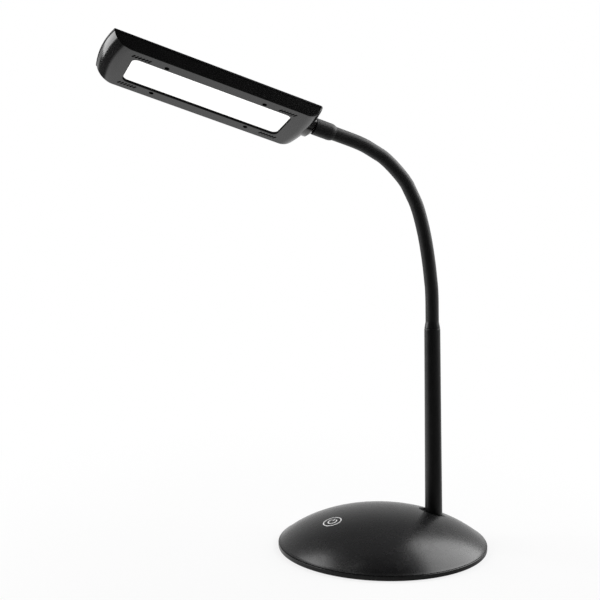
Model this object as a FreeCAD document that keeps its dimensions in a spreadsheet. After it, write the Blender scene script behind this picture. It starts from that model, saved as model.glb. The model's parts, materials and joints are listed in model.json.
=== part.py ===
import FreeCAD, Part
import math
import os
import re

import Sketcher

# Gooseneck desk lamp. The origin is the middle of the rest face, +Z is up and the lamp looks along -Y.
# Lengths are in millimetres and angles in degrees.
SIZES = {
    # domed base
    "base_radius": 82.5,
    "rim_height": 4.0,
    "rim_lift": 0.4,
    "rim_bevel": 0.6,
    "floor_under": 1.2,
    "floor_top": 2.6,
    "rim_step": 0.4,
    "dome_height": 29.0,
    "dome_sink": 27.4,
    "shell_wall": 2.2,
    "spigot_width": 2.0,
    "spigot_height": 2.0,
    "fit_gap": 0.3,
    "hole_clear": 0.2,
    "join_depth": 0.4,
    "pad_inset": 8.5,
    "weight_inset": 20.5,
    "weight_bottom": 7.2,
    "weight_clear": 0.95,
    # screws that hold the bottom plate
    "post_inset": 13.0,
    "post_radius": 3.8,
    "post_bottom": 6.0,
    "post_over": 0.4,
    "screw_radius": 1.5,
    "screw_head": 2.9,
    "screw_head_height": 2.0,
    "screw_seat": 4.0,
    "screw_clear": 0.3,
    # touch switch and its board
    "touch_inset": 40.0,
    "touch_ring": 7.6,
    "touch_line": 0.9,
    "touch_inner": 3.9,
    "touch_depth": 0.25,
    "touch_gap_angle": 64.0,
    "touch_turn": 35.0,
    "foam_radius": 4.5,
    "foam_gap": 0.1,
    "board_back": 4.5,
    "board_width": 32.0,
    "board_length": 28.0,
    "board_thick": 1.6,
    "board_lift": 1.8,
    "board_corner": 4.0,
    "spacer_radius": 2.4,
    # socket for the mains adapter's plug
    "jack_inset": 14.5,
    "jack_length": 12.0,
    "jack_width": 9.0,
    "jack_height": 8.6,
    "jack_axis": 5.1,
    "jack_bore": 2.95,
    "jack_bore_depth": 9.5,
    "jack_pin": 1.05,
    "plug_radius": 5.0,
    "tunnel_wall": 2.2,
    # rod
    "rod_inset": 37.1,
    "rod_lean": 1.2,
    "seat_drop": 8.4,
    "seat_radius": 12.0,
    "boss_radius": 9.0,
    "rod_foot_radius": 6.95,
    "rod_top_radius": 6.35,
    "rod_fit": 0.05,
    "rod_length": 151.3,
    "rod_gap": 0.2,
    "nipple_radius": 5.0,
    "nipple_bore": 3.0,
    "nipple_up": 22.0,
    "nipple_clear": 0.3,
    "hole_slack": 0.5,
    "washer_radius": 8.0,
    "washer_thick": 1.2,
    "washer_gap": 0.25,
    "nut_across": 7.6,
    "nut_thick": 2.7,
    "ferrule_down": 16.0,
    "shoulder_height": 5.1,
    "pivot_above_rod": 6.13,
    # gooseneck
    "link_length": 23.0,
    "tube_radius": 5.3,
    "sleeve_wall": 1.4,
    "core_bore": 2.2,
    "sleeve_slack": 0.05,
    "ball_inset": 0.15,
    "cup_clear": 0.45,
    "rest_bend_1": 0.0,
    "rest_bend_2": 6.0,
    "rest_bend_3": 3.0,
    "rest_bend_4": 6.0,
    "rest_bend_5": 12.0,
    "rest_bend_6": 17.0,
    "rest_bend_7": 16.0,
    "rest_bend_8": 11.3,
    "rest_bend_9": 0.0,
    # neck and its swivel
    "collar_over": 1.15,
    "collar_length": 18.1,
    "collar_start": 1.6,
    "collar_lead": 2.6,
    "lead_over": 0.1,
    "socket_wall": 0.85,
    "stub_slack": 0.05,
    "stub_length": 9.6,
    "stub_bore": 1.5,
    "clip_back": 6.0,
    "clip_radius": 0.6,
    "neck_gap": 0.3,
    "neck_reach": 20.5,
    "neck_under": 0.45,
    "neck_half_width": 11.0,
    "neck_half_height": 4.4,
    "neck_drop": 2.5,
    "flare_inside": 0.8,
    "oval_inside": 7.5,
    "tongue_width": 12.0,
    "tongue_height": 3.6,
    "tongue_drop": 3.0,
    "tongue_inside": 8.0,
    "tongue_slack": 0.1,
    "head_roll": 20.8,
    # lamp head
    "head_length": 163.0,
    "head_width": 52.6,
    "head_top": 2.1,
    "head_bottom": 9.4,
    "cover_thick": 1.6,
    "head_wall": 1.8,
    "head_floor": 2.0,
    "end_radius": 134.0,
    "end_round": 15.5,
    "lip_depth": 1.2,
    "lip_gap": 1.6,
    "lip_wall": 1.2,
    "window_end_inset": 21.0,
    "window_side_inset": 10.35,
    "window_corner": 4.5,
    "diffuser_end_lap": 1.5,
    "diffuser_side_lap": 0.55,
    "diffuser_thick": 1.5,
    "frame_wall": 1.2,
    "stack_gap": 0.05,
    "led_board_thick": 1.2,
    "led_width": 2.8,
    "led_length": 3.5,
    "led_thick": 0.8,
    "led_end_inset": 8.0,
    "led_row": 6.5,
    "screw_end_inset": 44.5,
    "screw_side_inset": 7.1,
    "well_radius": 2.6,
    "well_height": 2.5,
    "well_hole": 1.6,
    "well_seat": 3.2,
    "small_screw_radius": 0.8,
    "small_screw_head": 1.4,
    "small_screw_slack": 0.15,
    "small_head_height": 1.2,
    "small_screw_short": 0.6,
    "boss_small": 2.4,
    "boss_gap": 0.1,
    "vent_end_inset": 26.1,
    "vent_side_inset": 6.7,
    "vent_pitch": 2.3,
    "vent_width": 1.2,
    "vent_length": 3.4,
    "vent_slant": 30.0,
}
LINKS = 8
SIDE_LINKS = (2, 5, 7)
PLATE_SCREWS = 4
VENT_SLOTS = 6
LED_COLUMNS = 10
HEXAGON = 6

X = FreeCAD.Vector(1, 0, 0)
Y = FreeCAD.Vector(0, 1, 0)
Z = FreeCAD.Vector(0, 0, 1)
NO_MOVE = FreeCAD.Vector(0, 0, 0)

doc = FreeCAD.newDocument("desk_lamp")
sheet = doc.addObject("Spreadsheet::Sheet", "sizes")
for row, (alias, number) in enumerate(SIZES.items(), 1):
    sheet.set(f"A{row}", alias)
    sheet.set(f"B{row}", str(number))
    sheet.setAlias(f"B{row}", alias)
doc.recompute()


def size(alias):
    return float(sheet.get(alias))


def linked(text):
    """The text with each size's name turned into a reference to its cell."""
    return re.sub(r"[a-z]\w*", lambda word: f"sizes.{word[0]}" if word[0] in SIZES else word[0], text)


def place(item, x="0", y="0", z="0", turn=None):
    if turn:
        item.Placement = FreeCAD.Placement(NO_MOVE, FreeCAD.Rotation(*turn))
    for axis, text in zip("xyz", (x, y, z)):
        item.setExpression(f"Placement.Base.{axis}", linked(text))
    return item


# Solids


def cylinder(radius, height, x="0", y="0", z="0", turn=None):
    item = doc.addObject("Part::Cylinder", "cylinder")
    item.setExpression("Radius", linked(radius))
    item.setExpression("Height", linked(height))
    return place(item, x, y, z, turn)


def cone(low_radius, high_radius, height, z="0"):
    item = doc.addObject("Part::Cone", "cone")
    item.setExpression("Radius1", linked(low_radius))
    item.setExpression("Radius2", linked(high_radius))
    item.setExpression("Height", linked(height))
    return place(item, z=z)


def ball(radius, z="0"):
    item = doc.addObject("Part::Sphere", "ball")
    item.setExpression("Radius", linked(radius))
    return place(item, z=z)


def block(width, depth, height, x="0", y="0", z="0", turn=None):
    """A box centred on x and y, and standing on z."""
    item = doc.addObject("Part::Box", "block")
    item.setExpression("Length", linked(width))
    item.setExpression("Width", linked(depth))
    item.setExpression("Height", linked(height))
    if turn:
        return place(item, x, y, z, turn)
    return place(item, f"({x}) - ({width}) / 2", f"({y}) - ({depth}) / 2", z)


def nut_blank(across, height, z="0"):
    item = doc.addObject("Part::Prism", "hexagon")
    item.Polygon = HEXAGON
    item.setExpression("Circumradius", linked(across))
    item.setExpression("Height", linked(height))
    return place(item, z=z)


DOME_UP = "(dome_height + dome_sink)"
DOME_EDGE = "(base_radius - rim_step)"
DOME_ACROSS = f"({DOME_EDGE} / sqrt(1 - ((rim_height + dome_sink) / {DOME_UP}) ^ 2))"


def ceiling(radius):
    """The height of the dome's inner face at a radius."""
    return (f"(({DOME_UP} - shell_wall) * sqrt(1 - (({radius}) / ({DOME_ACROSS} - shell_wall)) ^ 2)"
            " - dome_sink)")


def dome(shrink, z="0"):
    item = doc.addObject("Part::Ellipsoid", "dome")
    item.setExpression("Radius1", linked(f"{DOME_UP} - ({shrink})"))
    item.setExpression("Radius2", linked(f"{DOME_ACROSS} - ({shrink})"))
    item.setExpression("Radius3", linked(f"{DOME_ACROSS} - ({shrink})"))
    return place(item, z=f"0 - dome_sink - ({z})")


def fuse(*pieces):
    item = doc.addObject("Part::MultiFuse", "fuse")
    item.Shapes = list(pieces)
    return item


def common(*pieces):
    item = doc.addObject("Part::MultiCommon", "common")
    item.Shapes = list(pieces)
    return item


def cut(base, *tools):
    item = doc.addObject("Part::Cut", "cut")
    item.Base = base
    item.Tool = tools[0] if len(tools) == 1 else fuse(*tools)
    return item


def group(*pieces):
    item = doc.addObject("Part::Compound", "group")
    item.Links = list(pieces)
    return item


def shaped(shape):
    item = doc.addObject("Part::Feature", "shape")
    item.Shape = shape
    return item


# Bodies with sketches


def body(label):
    return doc.addObject("PartDesign::Body", label)


def sketch(item, role="XY_Plane", lift="0"):
    drawing = item.newObject("Sketcher::SketchObject", "drawing")
    plane = next(feature for feature in item.Origin.OriginFeatures if feature.Role == role)
    drawing.AttachmentSupport = [(plane, "")]
    drawing.MapMode = "FlatFace"
    drawing.setExpression("AttachmentOffset.Base.z", linked(lift))
    return drawing


def dimension(drawing, kind, geometry, point, start, text):
    link = (-1, 1, geometry, point) if kind != "Radius" else (geometry,)
    index = drawing.addConstraint(Sketcher.Constraint(kind, *link, start))
    drawing.setExpression(f"Constraints[{index}]", linked(text))


def polygon(drawing, corners):
    """A closed outline whose corners are given as pairs of texts."""
    first = drawing.GeometryCount
    count = len(corners)
    turns = [math.tau * k / count for k in range(count)]
    rough = [FreeCAD.Vector(20 + 9 * math.cos(turn), 9 * math.sin(turn + 0.1), 0) for turn in turns]
    for k in range(count):
        drawing.addGeometry(Part.LineSegment(rough[k], rough[(k + 1) % count]), False)
    for k in range(count):
        drawing.addConstraint(Sketcher.Constraint("Coincident", first + k, 2, first + (k + 1) % count, 1))
    for k, (across, up) in enumerate(corners):
        dimension(drawing, "DistanceX", first + k, 1, rough[k].x, across)
        dimension(drawing, "DistanceY", first + k, 1, rough[k].y, up)


def rectangle(drawing, width, height, x="0", y="0"):
    left, right = f"({x}) - ({width}) / 2", f"({x}) + ({width}) / 2"
    low, high = f"({y}) - ({height}) / 2", f"({y}) + ({height}) / 2"
    polygon(drawing, [(left, low), (right, low), (right, high), (left, high)])


def circle(drawing, radius, x="0", y="0"):
    index = drawing.addGeometry(Part.Circle(FreeCAD.Vector(5, 5, 0), Z, 2), False)
    dimension(drawing, "DistanceX", index, 3, 5, x)
    dimension(drawing, "DistanceY", index, 3, 5, y)
    dimension(drawing, "Radius", index, 0, 2, radius)


def pad(item, drawing, height):
    feature = item.newObject("PartDesign::Pad", "pad")
    feature.Profile = drawing
    feature.setExpression("Length", linked(height))
    item.Tip = feature
    return item


def turned(label, corners):
    """A body turned about +Z from corners given as radius and height."""
    item = body(label)
    drawing = sketch(item, "XZ_Plane")
    polygon(drawing, corners)
    feature = item.newObject("PartDesign::Revolution", "turning")
    feature.Profile = drawing
    feature.ReferenceAxis = (drawing, ["V_Axis"])
    feature.Angle = 360
    item.Tip = feature
    return item


def tube(label, outer, inner, low, high):
    return turned(label, [(inner, low), (outer, low), (outer, high), (inner, high)])


parts = []


def keep(item, label, frame=None):
    item.Label = label
    if frame:
        item.Placement = frame
    parts.append(item)
    return item


def around(count, circle_radius, start):
    """Places, as pairs of texts, evenly round a circle."""
    angles = [start + 360 * k / count for k in range(count)]
    return [(f"{circle_radius} * cos({angle} deg)", f"{circle_radius} * sin({angle} deg)") for angle in angles]


# Base

POST_START = 45
TOUCH_FRONT = "(base_radius - touch_inset)"
BOARD_FRONT = f"({TOUCH_FRONT} - board_back)"
PAD_RADIUS = "(base_radius - pad_inset)"
WEIGHT_RADIUS = "(base_radius - weight_inset)"
WEIGHT_TOP = f"({ceiling(WEIGHT_RADIUS)} - weight_clear)"
POST_CIRCLE = "(base_radius - post_inset)"
SPIGOT_TOP = "(rim_height + spigot_height)"
SPIGOT_RADIUS = (f"(({DOME_ACROSS} - shell_wall) * sqrt(1 - (({SPIGOT_TOP} + dome_sink)"
                 f" / ({DOME_UP} - shell_wall)) ^ 2) - fit_gap)")
ROD_BACK = "(base_radius - rod_inset)"
SEAT_UP = "(dome_height - seat_drop)"
JACK_BACK = "(base_radius - jack_inset)"
JACK_UP = "(floor_top + jack_axis)"
posts = around(PLATE_SCREWS, POST_CIRCLE, POST_START)


def make_touch_mark(reach, outer, lower):
    """A thin inlay in the dome: a ring with the broken ring and bar of a standby sign inside."""
    ratio = reach / outer.Radius2.Value
    root = math.sqrt(1 - ratio ** 2)
    slope = math.degrees(math.atan(outer.Radius1.Value * ratio / outer.Radius2.Value / root))
    up = outer.Radius1.Value * root - size("dome_sink")
    deep, line = 6.0, size("touch_line")

    def ring(radius):
        return Part.makeCylinder(radius, deep, FreeCAD.Vector(0, 0, -deep / 2)).cut(
            Part.makeCylinder(radius - line, deep, FreeCAD.Vector(0, 0, -deep / 2)))

    inner = size("touch_inner")
    wedge = Part.makeCylinder(2 * inner, deep, FreeCAD.Vector(0, 0, -deep / 2), Z, size("touch_gap_angle"))
    wedge.rotate(NO_MOVE, Z, 90 - size("touch_gap_angle") / 2)
    bar = Part.makeBox(line, inner, deep, FreeCAD.Vector(-line / 2, 0.5, -deep / 2))
    tools = [ring(size("touch_ring")), ring(inner).cut(wedge), bar]
    frame = FreeCAD.Placement(FreeCAD.Vector(0, -reach, up), FreeCAD.Rotation(X, slope))
    frame = frame * FreeCAD.Placement(NO_MOVE, FreeCAD.Rotation(Z, size("touch_turn")))
    skin = outer.Shape.cut(lower.Shape)
    solids = []
    for tool in tools:
        tool.Placement = frame
        solids += tool.common(skin).Solids
    return Part.makeCompound(solids)


dome_outer = dome("0")
dome_lower = dome("0", "touch_depth")
doc.recompute()
touch_reach = size("base_radius") - size("touch_inset")
touch_mark = keep(shaped(make_touch_mark(touch_reach, dome_outer, dome_lower)), "touch_mark")

SCREW_TOP = f"({ceiling(POST_CIRCLE)} - screw_clear)"
plug_way = cylinder("plug_radius", "base_radius", y=JACK_BACK, z=JACK_UP, turn=(X, -90))
skin = cut(common(dome_outer, cylinder(f"{DOME_EDGE} + 1", "dome_height", z="rim_height")), dome("shell_wall"))
inside = common(
    dome("0"),
    cylinder(f"{DOME_EDGE} + 1", "dome_height", z="rim_height"),
    fuse(
        cylinder("seat_radius + shell_wall", "seat_drop + shell_wall", y=ROD_BACK, z=f"{SEAT_UP} - shell_wall"),
        cylinder("boss_radius", f"dome_height - {WEIGHT_TOP}", y=ROD_BACK, z=WEIGHT_TOP),
        cylinder("plug_radius + tunnel_wall", "jack_inset + tunnel_wall", y=f"{JACK_BACK} - tunnel_wall",
                 z=JACK_UP, turn=(X, -90)),
        *(cylinder("post_radius", "dome_height", x=x, y=y, z="post_bottom + fit_gap") for x, y in posts),
    ),
)
shell = cut(
    fuse(skin, inside),
    cylinder("seat_radius", "dome_height", y=ROD_BACK, z=SEAT_UP),
    cylinder("nipple_radius + hole_slack", "dome_height", y=ROD_BACK),
    plug_way,
    block("jack_width + 2 * fit_gap", "jack_length", "floor_top + jack_height + fit_gap",
          y=f"{JACK_BACK} - jack_length / 2 + fit_gap"),
    *(cylinder("screw_radius", f"{SCREW_TOP} - post_bottom", x=x, y=y, z="post_bottom") for x, y in posts),
    touch_mark,
)
keep(shell, "base_shell")

plate_blank = turned("plate_blank", [
    ("0", "floor_under"), (f"{PAD_RADIUS} + fit_gap", "floor_under"), (f"{PAD_RADIUS} + fit_gap", "rim_lift"),
    ("base_radius - rim_bevel", "rim_lift"), ("base_radius", "rim_lift + rim_bevel"),
    ("base_radius", "rim_height"),
    (SPIGOT_RADIUS, "rim_height"), (SPIGOT_RADIUS, SPIGOT_TOP),
    (f"{SPIGOT_RADIUS} - spigot_width", SPIGOT_TOP), (f"{SPIGOT_RADIUS} - spigot_width", "floor_top"),
    ("0", "floor_top"),
])
plate = cut(
    fuse(
        plate_blank,
        *(cylinder("post_radius + post_over", "post_bottom - floor_under", x=x, y=y, z="floor_under")
          for x, y in posts),
    ),
    *(cylinder("screw_head + fit_gap", "screw_seat - floor_under", x=x, y=y, z="floor_under")
      for x, y in posts),
    *(cylinder("screw_radius + hole_clear", "post_bottom", x=x, y=y, z="floor_under") for x, y in posts),
    block("2 * (plug_radius + tunnel_wall + fit_gap)", "6 * spigot_width", "spigot_height + 1",
          y=SPIGOT_RADIUS, z="rim_height"),
    plug_way,
)
keep(plate, "base_plate")

keep(tube("anti_slip_pad", PAD_RADIUS, "0", "0", "floor_under"), "anti_slip_pad")

keep(group(*(
    fuse(cylinder("screw_head", "screw_head_height", x=x, y=y, z="screw_seat - screw_head_height"),
         cylinder("screw_radius", f"{SCREW_TOP} - screw_seat", x=x, y=y, z="screw_seat"))
    for x, y in posts
)), "plate_screws")

weight = body("base_weight")
outline = sketch(weight, lift="weight_bottom")
circle(outline, WEIGHT_RADIUS)
circle(outline, "nipple_radius + hole_slack", y=ROD_BACK)
pad(weight, outline, f"{WEIGHT_TOP} - weight_bottom")
notch = sketch(weight, lift=WEIGHT_TOP)
rectangle(notch, "jack_width + 4 * fit_gap", WEIGHT_RADIUS,
          y=f"{JACK_BACK} - jack_length - 2 * fit_gap + {WEIGHT_RADIUS} / 2")
doc.recompute()
notch_cut = weight.newObject("PartDesign::Pocket", "jack_notch")
notch_cut.Profile = notch
notch_cut.setExpression("Length", linked(f"{WEIGHT_TOP} - weight_bottom + 1"))
weight.Tip = notch_cut
keep(weight, "base_weight")

# Touch board and its contact

BOARD_UP = f"({WEIGHT_TOP} + board_lift)"
BOARD_TOP = f"({BOARD_UP} + board_thick)"
spacer_places = [(f"{side} * (board_width / 2 - board_corner)",
                  f"{end} * (board_length / 2 - board_corner) - {BOARD_FRONT}")
                 for side in (-1, 1) for end in (-1, 1)]
keep(group(*(cylinder("spacer_radius", "board_lift", x=x, y=y, z=WEIGHT_TOP) for x, y in spacer_places)),
     "board_spacers")

board = body("touch_board")
outline = sketch(board, lift=BOARD_UP)
rectangle(outline, "board_width", "board_length", y=f"0 - {BOARD_FRONT}")
pad(board, outline, "board_thick")
keep(board, "touch_board")

keep(group(
    block("6", "5", "1.6", x="-8", y=f"4 - {BOARD_FRONT}", z=BOARD_TOP),
    block("7", "7", "3.5", x="8", y=f"6 - {BOARD_FRONT}", z=BOARD_TOP),
    block("4", "2.5", "1.2", y=f"8 - {BOARD_FRONT}", z=BOARD_TOP),
), "board_chips")

keep(common(cylinder("foam_radius", "dome_height", y=f"0 - {TOUCH_FRONT}", z=BOARD_TOP),
            dome("shell_wall + foam_gap")), "touch_contact")

# Socket for the adapter's plug

keep(cut(
    block("jack_width", "jack_length", "jack_height", y=f"{JACK_BACK} - jack_length / 2", z="floor_top"),
    cylinder("jack_bore", "jack_bore_depth", y=JACK_BACK, z=JACK_UP, turn=(X, 90)),
), "power_socket")
keep(cylinder("jack_pin", "jack_bore_depth - 1", y=f"{JACK_BACK} - 1", z=JACK_UP, turn=(X, 90)),
     "power_socket_pin")

# Rod, in a frame that leans forward from its seat

CORE_RADIUS = "(tube_radius - sleeve_wall)"
BALL_RADIUS = "(tube_radius - ball_inset)"
CUP_RADIUS = f"({BALL_RADIUS} + cup_clear)"
rod_seat = FreeCAD.Vector(0, size("base_radius") - size("rod_inset"), size("dome_height") - size("seat_drop"))
rod_frame = FreeCAD.Placement(rod_seat, FreeCAD.Rotation(X, size("rod_lean")))
WASHER_TOP = f"(weight_bottom - {SEAT_UP} - washer_gap)"
NUT_TOP = f"({WASHER_TOP} - washer_thick)"
keep(turned("rod_tube", [
    ("nipple_radius + rod_fit", "rod_gap"), ("rod_foot_radius", "rod_gap"), ("rod_top_radius", "rod_length"),
    ("nipple_radius + rod_fit", "rod_length"),
]), "rod_tube", rod_frame)
keep(tube("rod_nipple", "nipple_radius", "nipple_bore", f"floor_top + nipple_clear - {SEAT_UP}", "nipple_up"),
     "rod_nipple", rod_frame)
keep(tube("rod_washer", "washer_radius", "nipple_radius + hole_clear", NUT_TOP, WASHER_TOP),
     "rod_washer", rod_frame)
keep(cut(nut_blank("nut_across", "nut_thick", z=f"{NUT_TOP} - nut_thick"),
         cylinder("nipple_radius", "nut_thick", z=f"{NUT_TOP} - nut_thick")), "rod_nut", rod_frame)

ferrule = cut(
    fuse(
        cylinder("nipple_radius", "ferrule_down", z="rod_length - ferrule_down"),
        cone("rod_top_radius", "tube_radius + lead_over", "shoulder_height", z="rod_length"),
        cylinder("tube_radius", "pivot_above_rod - 1", z="rod_length + 1"),
        ball(BALL_RADIUS, z="rod_length + pivot_above_rod"),
    ),
    cylinder("core_bore", "rod_length", z="rod_length - ferrule_down"),
)
keep(ferrule, "rod_ferrule", rod_frame)

# Gooseneck: straight links between pivots, each with a cup at its start and a ball at its end


def link_piece(outer, inner, length):
    """A length of tube with a hollow start that clears the ball before it, and a ball-shaped end."""
    reach = fuse(cylinder(CUP_RADIUS, length), ball(BALL_RADIUS, z=length))
    return cut(
        common(cylinder(outer, f"{length} + {BALL_RADIUS}"), reach),
        cylinder(inner, f"{length} + 2 * {BALL_RADIUS}"),
        ball(CUP_RADIUS),
    )


def link_frame(point, angle):
    return FreeCAD.Placement(point, FreeCAD.Rotation(X, angle))


SLEEVE_BORE = f"({CORE_RADIUS} + sleeve_slack)"
pivot = rod_frame.multVec(FreeCAD.Vector(0, 0, size("rod_length") + size("pivot_above_rod")))
angle = size("rod_lean")
for number in range(1, LINKS + 1):
    angle += size(f"rest_bend_{number}")
    halves = ("lower", "upper") if number in SIDE_LINKS else ("",)
    for half in halves:
        name = f"{number}_{half}" if half else f"{number}"
        length = "link_length / 2" if half else "link_length"
        frame = link_frame(pivot, angle)
        keep(link_piece(CORE_RADIUS, "core_bore", length), f"gooseneck_core_{name}", frame)
        keep(link_piece("tube_radius", SLEEVE_BORE, length), f"gooseneck_sleeve_{name}", frame)
        pivot = frame.multVec(FreeCAD.Vector(0, 0, size("link_length") / len(halves)))
angle += size(f"rest_bend_{LINKS + 1}")
neck_frame = link_frame(pivot, angle)

# Neck: the collar on the gooseneck's end, with the socket that the head's stub turns in

STUB_RADIUS = f"({CORE_RADIUS} - socket_wall - stub_slack)"
COLLAR_RADIUS = "(tube_radius + collar_over)"
CLIP_HALF = f"sqrt({CORE_RADIUS} ^ 2 - ({STUB_RADIUS} + clip_radius) ^ 2)"
clip_places = {"x": f"0 - {CLIP_HALF}", "y": STUB_RADIUS, "z": "collar_length - clip_back", "turn": (Y, 90)}
keep(group(cylinder("clip_radius", f"2 * {CLIP_HALF}", **clip_places)), "swivel_clip", neck_frame)
keep(cut(
    cylinder(CORE_RADIUS, "collar_length"),
    ball(CUP_RADIUS),
    cylinder("core_bore", "collar_length"),
    cylinder(f"{STUB_RADIUS} + stub_slack", "collar_length", z="collar_length - stub_length"),
    cylinder("clip_radius", f"2 * {CLIP_HALF}", **clip_places),
), "neck_socket", neck_frame)
keep(cut(
    fuse(
        cone("tube_radius + lead_over", COLLAR_RADIUS, "collar_lead", z="collar_start"),
        cylinder(COLLAR_RADIUS, "collar_length - collar_lead - collar_start", z="collar_lead + collar_start"),
    ),
    cylinder(SLEEVE_BORE, "collar_length"),
    ball(CUP_RADIUS),
), "neck_collar", neck_frame)

# Head. Its frame's origin is where the swivel's line leaves the head's end, and the head runs along -Y.

head_frame = neck_frame * FreeCAD.Placement(FreeCAD.Vector(0, 0, size("neck_reach")), FreeCAD.Rotation(X, -90))
head_frame = head_frame * FreeCAD.Placement(NO_MOVE, FreeCAD.Rotation(Y, -size("head_roll")))
MIDDLE = "0 - head_length / 2"


def end_disc(inset, low, high, centre):
    """A disc whose rim rounds down to its flat underside, for the curve of one end of the head."""
    rim, turn = size("end_radius") - inset, size("end_round") - inset
    centre_up = size("end_round") - size("head_bottom")
    side = math.sqrt(size("end_round") ** 2 - (centre_up - size("head_top")) ** 2)
    centre_out = size("end_radius") - side

    def rim_point(height):
        return FreeCAD.Vector(centre_out + math.sqrt(turn ** 2 - (centre_up - height) ** 2), 0, height)

    low_point = FreeCAD.Vector(centre_out, 0, low)
    high_point = rim_point(high)
    middle_point = rim_point((low + high) / 2)
    corners = [FreeCAD.Vector(0, 0, low), low_point, high_point, FreeCAD.Vector(0, 0, high)]
    edges = [
        Part.LineSegment(corners[0], corners[1]).toShape(),
        Part.Arc(low_point, middle_point, high_point).toShape(),
        Part.LineSegment(corners[2], corners[3]).toShape(),
        Part.LineSegment(corners[3], corners[0]).toShape(),
    ]
    disc = Part.Face(Part.Wire(edges)).revolve(NO_MOVE, Z, 360)
    disc.translate(FreeCAD.Vector(0, centre, 0))
    return disc


def head_form(inset, low, high):
    """The head's outline from low to high, drawn in by an inset."""
    width = size("head_width") - 2 * inset
    form = Part.makeBox(width, size("head_length"), high - low,
                        FreeCAD.Vector(-width / 2, -size("head_length"), low))
    tip_centre = size("end_radius") - size("head_length")
    form = form.common(end_disc(inset, low, high, tip_centre))
    return form.common(end_disc(inset, low, high, -size("end_radius")))


split_up = size("head_top") - size("cover_thick")
housing_blank = shaped(head_form(0, -size("head_bottom"), split_up))
cavity_low = size("head_wall") - size("head_bottom")
cavity = common(shaped(head_form(size("head_wall"), cavity_low, split_up + 1)),
                block("head_width", "head_length", "2 * head_bottom", y=MIDDLE, z="head_floor - head_bottom"))
FLOOR = "0 - head_bottom"
WINDOW_LENGTH = "(head_length - 2 * window_end_inset)"
WINDOW_WIDTH = "(head_width - 2 * window_side_inset)"
SCREW_ALONG = "(head_length / 2 - screw_end_inset)"
SCREW_ACROSS = "(head_width / 2 - screw_side_inset)"
VENT_ALONG = "(head_length / 2 - vent_end_inset)"
VENT_ACROSS = "(head_width / 2 - vent_side_inset)"
screw_places = [(f"{across} * {SCREW_ACROSS}", f"{MIDDLE} + {along} * {SCREW_ALONG}")
                for across in (-1, 1) for along in (-1, 1)]


def window_tool():
    """The window's opening, with round corners."""
    deep = "head_floor + 1"
    long_side = block(f"{WINDOW_WIDTH} - 2 * window_corner", WINDOW_LENGTH, deep, y=MIDDLE, z=FLOOR)
    short_side = block(WINDOW_WIDTH, f"{WINDOW_LENGTH} - 2 * window_corner", deep, y=MIDDLE, z=FLOOR)
    corners = [cylinder("window_corner", deep, x=f"{across} * ({WINDOW_WIDTH} / 2 - window_corner)",
                        y=f"{MIDDLE} + {along} * ({WINDOW_LENGTH} / 2 - window_corner)", z=FLOOR)
               for across in (-1, 1) for along in (-1, 1)]
    return fuse(long_side, short_side, *corners)


def vent_slots():
    slots = []
    for across in (-1, 1):
        for along in (-1, 1):
            for slot in range(VENT_SLOTS):
                step = slot - (VENT_SLOTS - 1) / 2
                piece = block("vent_length", "vent_width", "head_floor + 1",
                              x=f"{across} * {VENT_ACROSS} - vent_length / 2 * cos(vent_slant * 1 deg)",
                              y=f"{MIDDLE} + {along} * {VENT_ALONG} + {step} * vent_pitch"
                                " - vent_length / 2 * sin(vent_slant * 1 deg)",
                              z=f"{FLOOR} - 0.5", turn=(Z, size("vent_slant")))
                slots.append(piece)
    return slots


tongue_slot = block("tongue_width + 2 * tongue_slack", "2 * tongue_inside", "tongue_height + 2 * tongue_slack",
                    z="0 - tongue_drop - tongue_height / 2 - tongue_slack")
wire_notch = cylinder("stub_bore", "2 * tongue_inside", y="tongue_inside", turn=(X, 90))
housing = cut(
    fuse(
        cut(housing_blank, cavity),
        *(cylinder("well_radius", "head_floor + well_height", x=x, y=y, z=FLOOR) for x, y in screw_places),
    ),
    window_tool(),
    tongue_slot,
    wire_notch,
    *vent_slots(),
    *(cylinder("well_hole", "well_seat", x=x, y=y, z=FLOOR) for x, y in screw_places),
    *(cylinder("small_screw_radius + small_screw_slack", "head_bottom", x=x, y=y, z=FLOOR)
      for x, y in screw_places),
)
keep(housing, "head_housing", head_frame)


def plan_form(inset, height, z):
    """The head's plan outline as an upright block."""
    return common(
        block(f"head_width - 2 * {inset}", "head_length", height, y=MIDDLE, z=z),
        cylinder(f"end_radius - {inset}", height, y="end_radius - head_length", z=z),
        cylinder(f"end_radius - {inset}", height, y="0 - end_radius", z=z),
    )


COVER_LOW = "head_top - cover_thick"
BOSS_LOW = "(head_floor + well_height + boss_gap - head_bottom)"
lip = cut(
    plan_form("(head_wall + lip_gap)", "lip_depth + join_depth", f"{COVER_LOW} - lip_depth"),
    plan_form("(head_wall + lip_gap + lip_wall)", "lip_depth + 2", f"{COVER_LOW} - lip_depth - 1"),
    block("tongue_width + 6", "2 * tongue_inside", "lip_depth + 0.2", z=f"{COVER_LOW} - lip_depth - 0.2"),
)
cover = cut(
    fuse(
        plan_form("0", "cover_thick", COVER_LOW),
        lip,
        *(cylinder("boss_small", f"{COVER_LOW} + join_depth - {BOSS_LOW}", x=x, y=y, z=BOSS_LOW)
          for x, y in screw_places),
    ),
    *(cylinder("small_screw_radius", f"{COVER_LOW} - {BOSS_LOW}", x=x, y=y, z=f"{BOSS_LOW} - hole_clear")
      for x, y in screw_places),
)
keep(cover, "head_cover", head_frame)

SCREW_SEAT = f"({FLOOR} + well_seat)"
keep(group(*(
    fuse(cylinder("small_screw_head", "small_head_height", x=x, y=y, z=f"{SCREW_SEAT} - small_head_height"),
         cylinder("small_screw_radius", "head_bottom - well_seat - small_screw_short", x=x, y=y, z=SCREW_SEAT))
    for x, y in screw_places
)), "head_screws", head_frame)

# Neck piece of the head: a flare that meets the head's end, with the stub that turns in the collar

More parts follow.
